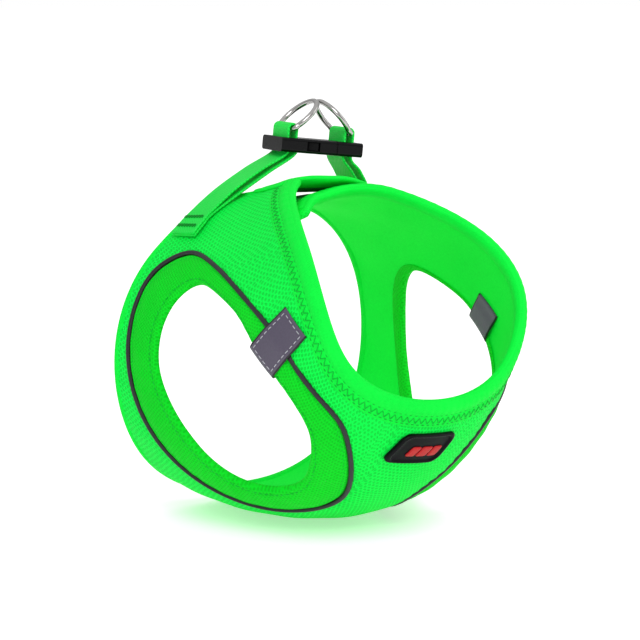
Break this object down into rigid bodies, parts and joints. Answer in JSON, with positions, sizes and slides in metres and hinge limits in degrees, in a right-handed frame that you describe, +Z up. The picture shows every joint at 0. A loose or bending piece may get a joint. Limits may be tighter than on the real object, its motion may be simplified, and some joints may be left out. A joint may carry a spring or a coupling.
{
  "type": "pet harness vest",
  "caption": "Step-in mesh harness vest for a small pet, with leg openings, doubled webbing straps, side-release buckle and D-rings.",
  "frame": {"origin": "middle of the flat spot that the belly panel rests on", "axes": "+Z up, neck opening towards -Y, body opening towards +Y, wearer's right side towards -X"},
  "size_m": [0.1859, 0.1713, 0.2305],
  "materials": {
    "air_mesh": "honeycomb air mesh, neon green",
    "lining_fabric": "smooth knitted lining",
    "binding_fabric": "padded folded binding, stitched",
    "trim_fabric": "padded knitted trim",
    "reflective_piping": "dark grey reflective piping",
    "reflective_tab": "reflective tape with stitched edge",
    "rubber_patch": "moulded soft rubber",
    "patch_mark": "raised red rubber",
    "webbing": "ribbed flat webbing",
    "stitching": "polyester thread",
    "hook_and_loop": "hook and loop tape",
    "label": "satin care label, blank",
    "buckle_plastic": "moulded acetal, satin",
    "ring_steel": "polished nickel-plated steel"
  },
  "bodies": {
    "vest": {"mesh_chest": "air_mesh", "mesh_belly_band": "air_mesh", "mesh_wing_right": "air_mesh", "mesh_wing_left": "air_mesh", "flap_seam": "air_mesh", "lining_right": "lining_fabric", "lining_left": "lining_fabric", "neck_binding": "binding_fabric", "hem_binding": "binding_fabric", "leg_trim_right": "trim_fabric", "leg_trim_left": "trim_fabric", "piping_right": "reflective_piping", "piping_left": "reflective_piping", "reflective_tab_right": "reflective_tab", "reflective_tab_left": "reflective_tab", "patch_base": "rubber_patch", "patch_emblem": "patch_mark", "care_label": "label", "loop_tape": "hook_and_loop", "buckle_socket": "buckle_plastic", "strap_loop_right": "webbing", "strap_tail_right": "webbing", "strap_tail_left": "webbing", "bartacks_right": "stitching", "bartacks_left": "stitching"},
    "flap": {"back_flap": "air_mesh", "hook_tape": "hook_and_loop"},
    "ring_right": {"d_ring_right": "ring_steel"},
    "ring_left": {"d_ring_left": "ring_steel"},
    "plug": {"buckle_plug": "buckle_plastic", "strap_loop_left": "webbing"},
    "prong_front": {"buckle_prong_front": "buckle_plastic"},
    "prong_rear": {"buckle_prong_rear": "buckle_plastic"}
  },
  "joints": [
    {"name": "flap_lift", "type": "hinge", "parent": "vest", "child": "flap", "pos_m": [-0.024, -0.0015, 0.1915], "axis": [0, -1, 0], "range_deg": [0, 4]},
    {"name": "plug_slide", "type": "slide", "parent": "vest", "child": "plug", "axis": [0.965, -0.2406, -0.1045], "range_m": [0, 0.02], "deforming": ["buckle_prong_front", "buckle_prong_rear"]},
    {"name": "ring_right_swing", "type": "hinge", "parent": "vest", "child": "ring_right", "pos_m": [-0.00097, 0.01498, 0.21478], "axis": [0.2419, 0.9703, 0], "range_deg": [-115, 0]},
    {"name": "ring_left_swing", "type": "hinge", "parent": "plug", "child": "ring_left", "pos_m": [0.0328, 0.00656, 0.21112], "axis": [0.2419, 0.9703, 0], "range_deg": [0, 115]},
    {"name": "prong_front_squeeze", "type": "hinge", "parent": "plug", "child": "prong_front", "pos_m": [0.02209, 0.00161, 0.20304], "axis": [0.1014, -0.0253, 0.9945], "range_deg": [-8, 0], "stiffness_Nm_per_rad": 0.05},
    {"name": "prong_rear_squeeze", "type": "hinge", "parent": "plug", "child": "prong_rear", "pos_m": [0.02567, 0.01597, 0.20304], "axis": [0.1014, -0.0253, 0.9945], "range_deg": [0, 8], "stiffness_Nm_per_rad": 0.05}
  ],
  "couplings": [
    {"joint": "prong_rear_squeeze", "follows": "prong_front_squeeze", "ratio": -1}
  ]
}
